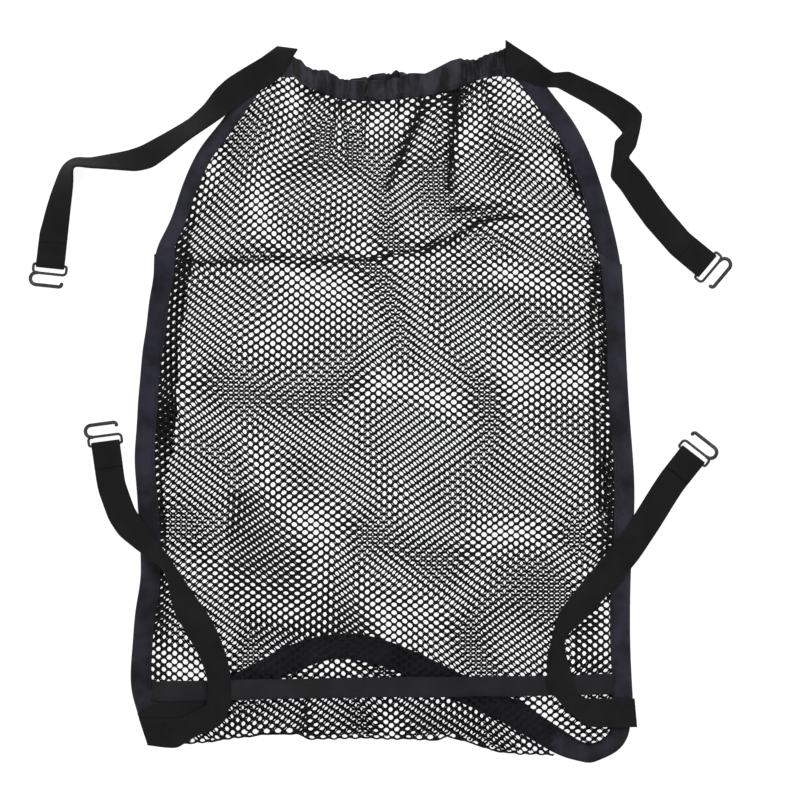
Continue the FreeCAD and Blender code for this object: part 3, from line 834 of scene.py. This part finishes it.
def makeBindings():
    for side, edge, sign, join, seed in (("left", leftEdge, 1, 106, 81), ("right", rightEdge, -1, 99, 91)):
        run = lengths(edge)
        wide = np.interp(-edge[:, 1], [-join - 8, -join + 3], sideBinding["widths"][side])
        wobble = 0.35 * waves(run, run * 0, seed, 45)
        outer = edge + leftOf(edge) * wobble[:, None]
        inner = edge + leftOf(edge) * (sign * wide + 0.6 * waves(run, run * 0, seed + 3, 30))[:, None]
        at = float(np.interp(-join, -edge[:, 1], run))
        total = run[-1]
        lap = sideBinding["overlap"]
        lines = {"upper": ((0.5, at + 3), (0.5, at + 3)),
                 "lower": ((at - 2 + lap * 0.8, total), (at - 2 - lap * 0.8, total))}
        for part, ((o0, o1), (i0, i1)) in lines.items():
            steps = int((o1 - o0) / 1.3)
            outerLine, innerLine = (
                np.stack([np.interp(np.linspace(a, b, steps), run, line[:, k]) for k in (0, 1)], axis=1)
                for a, b, line in ((o0, o1, outer), (i0, i1, inner)))
            level = np.full(steps, sideBinding["middle"])
            if part == "lower":
                end = np.exp(-np.arange(steps) / 6.0)
                outerLine = outerLine - leftOf(outerLine) * (sign * 1.0 * end)[:, None]
                level = level + 0.35 * end
            left, right = (innerLine, outerLine) if sign > 0 else (outerLine, innerLine)
            section = bindingSection if sign > 0 else [(-a, h) for a, h in bindingSection][::-1]
            across = np.array([s[0] for s in section])
            top = np.array([s[1] for s in section]) > 0
            lift = puckers(lengths(outerLine), across, seed, 8.5) * sideBinding["ripple"] * top
            piece = sweep(f"{side}_{part}_binding_tape", raised(left, level), raised(right, level),
                          section, binding, lift)
            finished(piece, "root", "binding", f"{side}_binding_{part}")
            # the tape is twice as wide as it shows; only its outer layer is modelled
            tapeWidth = 2 * sideBinding["widths"][side][part == "lower"] * mm
            long = lengths(outerLine)[-1] * mm
            "net_front_" + side
            tapeWidth * long / 2
        seam = edge + leftOf(edge) * (sign * (wide - sideBinding["seamFromInside"]))[:, None]
        line = atLength(seam, np.arange(8, total - 26, 1.5))
        row = stitchRow(side + "_binding_stitches", [raised(line, sideBinding["middle"] + 1.28)])
        finished(row, "root", "thread", side + "_binding_seam")
    log("side bindings made")


makeBindings()


# Bottom binding: flat inside the bag, rounded up into the right-hand binding at its corner

bottomBinding = {"halfWidth": 9.2, "cornerHalfWidth": 6.5, "level": 0.95, "cornerLevel": 2.2, "thickness": 1.5}


def makeBottomBinding():
    run = lengths(arch)
    corner = smoothStep(run[-1] - 75, run[-1] - 32, run)
    half = bottomBinding["halfWidth"] * (1 - corner) + bottomBinding["cornerHalfWidth"] * corner
    half = half + 0.5 * waves(run, run * 0, 33, 40)
    point = 1.3 * np.exp(-((arch[:, 0] - 147) / 5) ** 2)
    level = bottomBinding["level"] + (bottomBinding["cornerLevel"] - bottomBinding["level"]) * corner
    side = leftOf(arch)
    section = flatSection(bottomBinding["thickness"])
    across = np.array([s[0] for s in section])
    top = np.array([s[1] for s in section]) > 0
    swell = np.outer(corner, 0.7 * top * (1 - across ** 4))
    lift = puckers(run, across, 35, 9.0) * np.outer(0.14 + 0.22 * corner, top) + swell
    piece = sweep("bottom_binding_tape", raised(arch + side * half[:, None], level),
                  raised(arch - side * (half + point)[:, None], level), section, binding, lift)
    finished(piece, "root", "binding", "bottom_binding")
    rows = [raised(arch + way * side * (half - 2.2)[:, None], level + 0.82) for way in (1, -1)]
    finished(stitchRow("bottom_binding_seam", [r[20:-24] for r in rows]), "root", "thread")
    log("bottom binding made")


makeBottomBinding()


# Mouth casing, gathered on its elastic

mouth = {
    "frontLevel": 7.3,
    "backLevel": 1.25,
    "endLevel": 3.3,
    "flatWidth": 0.036,
    "outerWidth": 0.0175,
    "gather": 1.15,
    "elasticHalfWidth": 4.5,
    # creases along the mouth: place, width, depth
    "creases": [(-58, 1.6, 0.6), (-52, 1.5, 0.8), (-47, 1.1, 0.5), (-43, 1.3, 0.7), (-34.5, 1.3, 0.9),
                (-28, 1.4, 1.0),
                (-24.4, 1.2, 0.9), (-21.7, 1.2, 1.0), (-8.6, 1.0, 1.2), (4.6, 1.0, 1.1),
                (7.4, 0.9, 0.8), (13.6, 1.1, 1.0),
                (59, 1.4, 1.0), (63, 1.0, 0.8), (67.5, 1.3, 1.0), (71, 1.0, 0.7), (75.5, 1.0, 0.7),
                (79, 0.9, 0.6),
                (82.5, 1.2, 1.0), (85.5, 0.9, 0.7)],
    "backTop": [(-64, 239), (-50, 233), (-36, 228.5), (-26, 226), (-14, 226.3), (-8, 227.5),
                (-4.9, 228.9), (0, 229.6),
                (4.9, 230.2), (8, 229.8), (11.2, 232.2), (16, 230.4), (20, 228.6), (30, 228), (41, 231),
                (50, 234.5),
                (66, 237), (80, 241.5), (88, 244)],
}


def layCasing(name, level, topRows, spans, seed):
    top, low = np.array(topRows, float), np.array(outline["casingBottom"], float)
    for label, (x0, x1) in spans.items():
        x = np.linspace(x0, x1, int((x1 - x0) / 0.5) + 1)
        crease = sum(d * np.exp(-((x - c) / w) ** 2) for c, w, d in mouth["creases"])
        height = np.full(len(x), level)
        if name == "mouth_casing_front":
            # lowered at both ends, under the sewn ends of the straps
            height = np.interp(x, [-70, -62, -54, 84, 88.5],
                               [mouth["endLevel"], level - 1.2, level, level, mouth["endLevel"]])
        bulge = waves(x, 0 * x, seed, 17)
        upper = np.interp(x, top[:, 0], top[:, 1]) - 0.9 * crease + 0.4 * bulge
        lower = np.interp(x, low[:, 0], low[:, 1]) + 0.6 * crease - 0.4 * bulge
        section = [(-1, 0), (-0.96, 0.55), (-0.82, 0.9), (-0.55, 0.8), (-0.25, 1.05), (0.1, 1.15),
                   (0.45, 1.1),
                   (0.72, 0.9), (0.88, 1.0), (0.97, 0.6), (1, 0), (0.95, -0.7), (0.5, -1.0), (0, -1.05),
                   (-0.5, -1.0), (-0.95, -0.7)]
        across = np.array([s[0] for s in section])
        up = np.array([s[1] for s in section]) > 0
        slanted = x[:, None] + 1.6 * across[None, :] * np.sin(x[:, None] / 9)
        valley = sum(d * np.exp(-(np.abs(slanted - c) / w) ** 1.4) for c, w, d in mouth["creases"])
        smooth = np.exp(-((slanted - 36) / 17) ** 4)
        fine = waves(slanted, across[None, :] * 6 + 0 * slanted, seed + 2, 7.5)
        puff = waves(slanted, across[None, :] * 9 + 0 * slanted, seed + 4, 20)
        edge = 1 - 0.45 * np.abs(across)[None, :] ** 3
        fine = fine * (1 - 0.8 * smooth)
        ridge = smooth * 0.9 * np.exp(-((across[None, :] + 0.25 - 0.018 * (slanted - 36)) / 0.38) ** 2)
        lift = 0.9 * puff * (1 - 0.5 * smooth) + 0.45 * fine + ridge - 1.7 * valley
        lift = np.maximum(lift, -1.75) * up * edge
        left, right = np.stack([x, upper], axis=1), np.stack([x, lower], axis=1)
        piece = sweep(f"{name}{label}", raised(left, height), raised(right, height), section, casing, lift)
        yield label, piece, (x1 - x0) * mm


def declareCasing(piece, long, rests):
    # a tube laid flat, of which only the outer layer is modelled; its gathered flat area is worked out and left
    # unused
    long = long * mouth["gather"]
    mouth["outerWidth"] * long


def alongMouth(x0, x1):
    # the front in two halves and the back in one
    front, back = mouth["frontLevel"], mouth["backLevel"]
    return (("_front_left", "left", x0, split, front), ("_front_right", "right", split, x1, front),
            ("_back", None, x0, x1, back))


def makeMouth():
    spans = {"_left": (-75, split), "_right": (split, 92.5)}
    for label, piece, long in layCasing("mouth_casing_front", mouth["frontLevel"], outline["casingTop"],
                                        spans, 101):
        swinging(piece, label[1:], "casing", None, "mouth_casing_front")
        declareCasing(piece, long, "net_front" + label)
    for label, piece, long in layCasing("mouth_back_casing", mouth["backLevel"], mouth["backTop"],
                                        {"": (-66, 89)}, 111):
        finished(piece, "root", "casing", "mouth_casing_back")
        declareCasing(piece, long, "floor")

    section, half = flatSection(0.7), mouth["elasticHalfWidth"]
    for label, side, x0, x1, level in alongMouth(-61, 85):
        x = np.linspace(x0, x1, int((x1 - x0) / 1.5))
        centre = (bandAt(x, "casingTop") + bandAt(x, "casingBottom")) / 2
        band = sweep("flat_elastic" + label, raised(np.stack([x, centre + half], axis=1), level - 0.3),
                     raised(np.stack([x, centre - half], axis=1), level - 0.3), section, elastic)
        if side:
            swinging(band, side, "elastic", None, "mouth_elastic_front")
        else:
            finished(band, "root", "elastic", "mouth_elastic_back")

    for label, side, x0, x1, level in alongMouth(-57, 82):
        x = np.arange(x0, x1, 1.5)
        line = np.stack([x, bandAt(x, "casingBottom") + 2.4], axis=1)
        row = stitchRow("casing_stitches" + label, [raised(line, level + 0.92)], 2.4)
        if side:
            swinging(row, side, "thread", None, "casing_seam_front")
        else:
            finished(row, "root", "thread", "casing_seam_back")
    log("mouth made")


makeMouth()


# Cross tape, sewn over the front net with two rows of stitches

crossTape = {"halfWidth": 7.1, "thickness": 0.9, "left": (-159.5, -203.5), "right": (163.5, -198.4),
             "middle": -200.0}


def makeCrossTape():
    (x0, y0), (x1, y1) = crossTape["left"], crossTape["right"]
    section = flatSection(crossTape["thickness"])
    across = np.array([s[0] for s in section])
    for side, (a, b) in (("left", (x0, split)), ("right", (split, x1))):
        x = np.linspace(a, b, int((b - a) / 1.4) + 1)
        y = np.interp(x, [x0, -60, 40, x1], [y0, -201.0, crossTape["middle"], y1])
        y = y + 0.35 * waves(x, 0 * x, 120, 70)
        smooth = 2.1 + 4.6 * (1 - np.exp(-np.minimum(x + 160, 166 - x).clip(0) / 17))
        z = smooth + 0.95
        half = crossTape["halfWidth"] + 0.2 * waves(x, 0 * x, 121, 35)
        left, right = raised(np.stack([x, y + half], axis=1), z), raised(np.stack([x, y - half], axis=1), z)
        lift = (0.16 * puckers(x - x0, across, 122, 10.0) - 0.12 * np.cos(across * math.pi)[None, :])
        piece = sweep("cross_tape_" + side + "_half", left, right, section, tape, lift * 0.8)
        swinging(piece, side, "cross_tape", "cross_tape_" + side, "cross_tape_middle")
        (b - a) * mm
        "net_front_" + side
        lines = [onSurface(left, right, place, 0.5) for place in (-0.82, 0.82)]
        row = stitchRow("tape_seams_" + side, lines, 2.6)
        swinging(row, side, "thread", None, "tape_seams")
    log("cross tape made")


makeCrossTape()


# Webbing straps. A row is a place on the middle line with its height and roll, or both edges of
# the webbing with the middle's height, from which the tilt follows.

strapWidth, strapThick = 20.0, 1.4
bendBefore, bendAfter = 3, 9  # how far each way from its hinge two end points are taken
strapStitch = (1.7, (0.75, 0.22, 0.17))  # pitch, and the size of one stitch
boxHalf = 6.5
straps = {
    "top_left": {
        "rows": [(-72, 248.6, -57.4, 245.6, 7.6), (-84, 239.8, -70.3, 225.2, 5.6),
                 (-96.5, 232.5, -83.4, 217.4, 5.2),
                 (-107.4, 225.6, -95.6, 209.5, 5.2), (-115.8, 218, -103.6, 203.2, 6.2),
                 (-123, 207.8, -112.2, 196.5, 7.4),
                 (-133.9, 197.6, -127.2, 186.3, 8.8), (-141.1, 193.2, -134.8, 181, 8.8),
                 (-152, 187, -144.3, 173.4, 7.9),
                 (-167.6, 178.6, -158.8, 163, 6.0), (-177.3, 175.4, -169.8, 160.4, 6.5),
                 (-186, 173.6, -181, 161.2, 8.4),
                 (-195.3, 171.8, -192, 162, 9.8), (-204, 170.1, -203.4, 162.6, 10.6),
                 (-213, 171, -210.6, 163.8, 10.8),
                 (-219.2, 168.4, -213.8, 163.2, 10.8), (-223.4, 163.8, -214, 159.8, 10.2),
                 (-226.6, 156, -213.9, 153.6, 8.8),
                 (-230.5, 146, -214.8, 145.2, 7.0), (-234, 135, -216.2, 134.8, 5.2),
                 (-237.3, 122.5, -217.8, 121.6, 3.3)],
        "softness": 2.6, "lift": 1.0, "hinge": (-85.2, 227.0), "heading": (-0.768, -0.640),
        "end": (-231, 95.2), "outward": -96.0, "foldBack": 15.0, "boxStitch": (-77.5, 233.0, -49.5, 5.62),
    },
    "top_right": {
        "rows": [(87.6, 232.0, 87.8, 253.0, 5.6), (92.6, 226.4, 96.4, 247.2, 5.5),
                 (98.4, 223.4, 109.2, 238.8, 5.3), (107.5, 219.4, 114.4, 233.6, 7.4),
                 (117.8, 219.9, 121, 228.2, 12), (124.1, 219.7, 131.9, 229.4, 11.5),
                 (136.1, 213.2, 146.2, 223.4, 9),
                 (145.8, 208.2, 156, 219, 7.6), (158.6, 199.6, 168.6, 212.4, 6.8),
                 (165, 193.6, 177.2, 207.2, 5.6),
                 (170.3, 187.6, 183.6, 200.8, 4.9), (164.6, 181.9, 181.6, 188.5, 5.6),
                 (163.3, 169, 178.8, 177.6, 6),
                 (161.4, 156.8, 173.6, 170.4, 4.9), (168.7, 147.8, 184.6, 158.5, 4.0),
                 (177, 135.3, 193.2, 146.7, 2.9),
                 (186.2, 122.6, 201.4, 135.8, 1.4)],
        "softness": 1.3, "lift": 1.0, "hinge": (103.3, 230.4), "heading": (0.805, -0.594),
        "end": (227.8, 95.6), "outward": -40.0, "foldBack": 16.0, "boxStitch": (95.5, 238.2, -36.0, 5.95),
    },
    "bottom_left": {
        "rows": [(-162.6, -241, -168.8, -222.0, 5.8), (-151, -242.6, -153, -222.2, 5.9),
                 (-141.5, -243, -140.5, -222.6, 6.7),
                 (-132.5, -236.6, -133, -219.2, 7.9), (-121, -231.4, -127, -216, 8.7),
                 (-110.6, -227.2, -123, -213.6, 9.0),
                 (-104.8, -214.5, -120.8, -211.5, 9.3), (-103.8, -199.6, -120, -198.2, 9.3),
                 (-104.4, -190, -121.8, -190.6, 9.2),
                 (-107.4, -177.5, -125.2, -181, 8.8), (-112.4, -163.6, -129.4, -173.2, 8.4),
                 (-119.5, -149.8, -136.2, -160.8, 8.0),
                 (-127.4, -139, -142.8, -151, 7.6), (-134, -129.4, -146.6, -138.4, 7.3),
                 (-139.6, -121.2, -148, -127.8, 7.0),
                 (-145.4, -112.8, -151.2, -118.2, 6.7), (-152.4, -102.8, -159.6, -111.4, 6.2),
                 (-160.2, -91.6, -171.2, -103.4, 5.7), (-168.6, -80.4, -183, -94, 5.0), (-181, -79, 4.6, 0),
                 (-188, -60, 1.9, 0)],
        "softness": 2.4, "lift": 0.3, "hinge": (-113.5, -213.4), "heading": (0.021, 1.0),
        "end": (-192.2, -30.4), "outward": 97.5, "foldBack": 16.0, "boxStitch": (-145.5, -231.0, 0, 7.45),
    },
    "bottom_right": {
        "rows": [(178.2, -208.2, 180, -228.3, 5.8), (160, -208, 160, -228.4, 5.9),
                 (146.5, -208.2, 146, -228.3, 7.3),
                 (138.2, -206.6, 130, -216, 8.9), (136.2, -201.4, 119, -203, 9.3),
                 (133.8, -188.5, 116.3, -190.5, 9.3),
                 (130.3, -178, 116.8, -177, 9.8), (128.4, -169.6, 119.8, -167.4, 10.4),
                 (131.8, -162.4, 121.8, -157.4, 10.2),
                 (139.6, -156.6, 125.2, -147, 9.2), (154, -127, 7.3, 0), (173, -105, 5.9, 0),
                 (187, -84, 5.0, 0),
                 (197, -68, 2.7, 0)],
        "softness": 3.0, "lift": 0.3, "hinge": (127.3, -200.8), "heading": (-0.198, 0.980),
        "end": (218.4, -38.8), "outward": 52.0, "foldBack": 16.0, "boxStitch": (168.5, -218.2, 0, 6.72),
    },
}


def outwardOf(strap):
    angle = math.radians(strap["outward"])
    return np.array([math.cos(angle), math.sin(angle)]), np.array([-math.sin(angle), math.cos(angle)])


def strapEdges(strap):
    # both edges of the webbing, out to the hook, round its bar and back
    half = strapWidth / 2
    out, side = outwardOf(strap)
    end = np.array(strap["end"])
    rows = list(strap["rows"])
    rows += [(*(end - out * back), 1.05, 0) for back in (23.0, 16.0)]
    middles = np.array([((r[0] + r[2]) / 2, (r[1] + r[3]) / 2) if len(r) == 5 else r[:2] for r in rows])
    sides = leftOf(middles)
    edges = []
    for row, middle, across in zip(rows, middles, sides):
        if len(row) == 5:
            reach = (np.array([row[2], row[3]]) - np.array([row[0], row[1]])) / 2
            tilt = strap["lift"] * math.sqrt(max(half ** 2 - float(reach @ reach), 0))
            z = row[4]
        else:
            roll = math.radians(row[3])
            reach, tilt, z = across * half * math.cos(roll), half * math.sin(roll), row[2]
        if row is rows[-1] or row is rows[-2]:
            reach = side * half
        edges.append([*(middle - reach), z - tilt, *(middle + reach), z + tilt])
    edges = np.array(edges)
    centre = (edges[:, :3] + edges[:, 3:]) / 2
    dense = soften(np.column_stack([centre, edges]), 1.2, strap["softness"])[:, 3:]
    bar, bend = 2.7, 1.68
    turn = np.radians(np.arange(-90, 91, 15))
    path = [(-back, 1.02) for back in np.arange(15.0, 0.9, -1.2)]
    path += [(bend * math.cos(t), bar + bend * math.sin(t)) for t in turn]
    path += [(-1.6, 4.32), (-3.0, 4.1), (-4.6, 3.66), (-6.2, 3.2), (-7.8, 2.82), (-9.4, 2.58), (-11, 2.5)]
    path += [(-back, 2.47) for back in np.arange(12.4, strap["foldBack"], 1.2)] + [(-strap["foldBack"], 2.5)]
    loop = []
    for y, z in path:
        spot = end + out * y
        loop.append([*(spot - side * half), z, *(spot + side * half), z])
    dense = np.vstack([dense, np.array(loop)])
    return dense[:, :3], dense[:, 3:]


def makeStraps():
    for name, strap in straps.items():
        right, left = strapEdges(strap)
        section = flatSection(strapThick)
        piece = sweep(name + "_webbing", left, right, section, webbing)
        hinge, heading = np.array(strap["hinge"]), np.array(strap["heading"])
        start, finish = hinge - heading * bendBefore, hinge + heading * bendAfter
        bending(piece, "root", name + "_strap", (*start, 5), (*finish, 5), "webbing",
                name + "_strap", name + "_strap_end", name + "_strap_loop")
        long = float(lengths((left + right) / 2)[-1])

        out, side = outwardOf(strap)
        rows = []
        for back in (10.6, 13.2):
            ends = [np.array(strap["end"]) - out * back + side * reach for reach in (-8.6, 8.6)]
            rows.append(np.array([[*e, 3.27] for e in ends]))
        finished(stitchRow(name + "_bar_stitches", rows, *strapStitch), name + "_strap", "thread",
                 name + "_loop_stitches")

        x, y, turn, z = strap["boxStitch"]
        c, s = math.cos(math.radians(turn)), math.sin(math.radians(turn))
        square = [(a * boxHalf, b * boxHalf) for a, b in ((-1, -1), (1, -1), (1, 1), (-1, 1), (-1, -1))]
        lines = [square, [square[0], square[2]], [square[3], square[1]]]
        lines = [np.array([(x + a * c - b * s, y + a * s + b * c, z) for a, b in line]) for line in lines]
        finished(stitchRow(name + "_square_stitches", lines, *strapStitch), "root", "thread",
                 name + "_box_stitch")

        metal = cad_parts[name + "_hook"]
        metal.data.materials.clear()
        metal.data.materials.append(hookMetal)
    # the end of the bottom left strap, folded under its sewn stretch
    edges = soften(np.array([(-166.2, -229.6, -169.9, -218.6, 4.4), (-157, -231, -158.5, -212.2, 4.5),
                             (-149, -229.5, -149.5, -209.2, 4.6), (-140, -228.5, -140, -208.6, 5.6),
                             (-121, -228.5, -121, -208.6, 6.4)]), 1.5, 2.0)
    tail = sweep("bottom_left_tail", edges[:, [0, 1, 4]], edges[:, [2, 3, 4]], flatSection(1.3), webbing)
    finished(tail, "root", "webbing")
    log("straps made")


makeStraps()


# Camera, floor and light

def makeStage():
    place = {"height": 3.0, "width": 0.56, "centre": (0.014, 0.0007)}
    camera = bpy.data.cameras.new("camera")
    camera.sensor_width = 36
    camera.lens = 36 * place["height"] / place["width"]
    camera.clip_end = 50
    holder = bpy.data.objects.new("camera", camera)
    holder.location = (*place["centre"], place["height"] + 0.005)
    bpy.context.scene.collection.objects.link(holder)
    bpy.context.scene.camera = holder

    size = 3.0
    floor = makePiece("floor", [(-size, -size, 0), (size, -size, 0), (size, size, 0), (-size, size, 0)],
                      [(0, 1, 2, 3)], makeFloorFinish())

    world = bpy.data.worlds.new("studio")
    bpy.context.scene.world = world
    world.use_nodes = True
    world.node_tree.nodes["Background"].inputs[0].default_value = (1, 1, 1, 1)
    world.node_tree.nodes["Background"].inputs[1].default_value = 0.45
    for name, spot, power, wide in (("key", (1.1, 1.5, 1.9), 30, 1.1), ("fill", (-1.4, -0.9, 2.0), 19, 1.8)):
        lamp = bpy.data.lights.new(name, "AREA")
        lamp.energy, lamp.size = power, wide
        holder = bpy.data.objects.new(name, lamp)
        holder.location = spot
        holder.rotation_euler = (-Vector(spot)).to_track_quat("-Z", "Y").to_euler()
        bpy.context.scene.collection.objects.link(holder)
    bpy.context.scene.view_settings.view_transform = "Standard"
    log("stage set")


makeStage()

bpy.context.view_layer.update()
log("done")
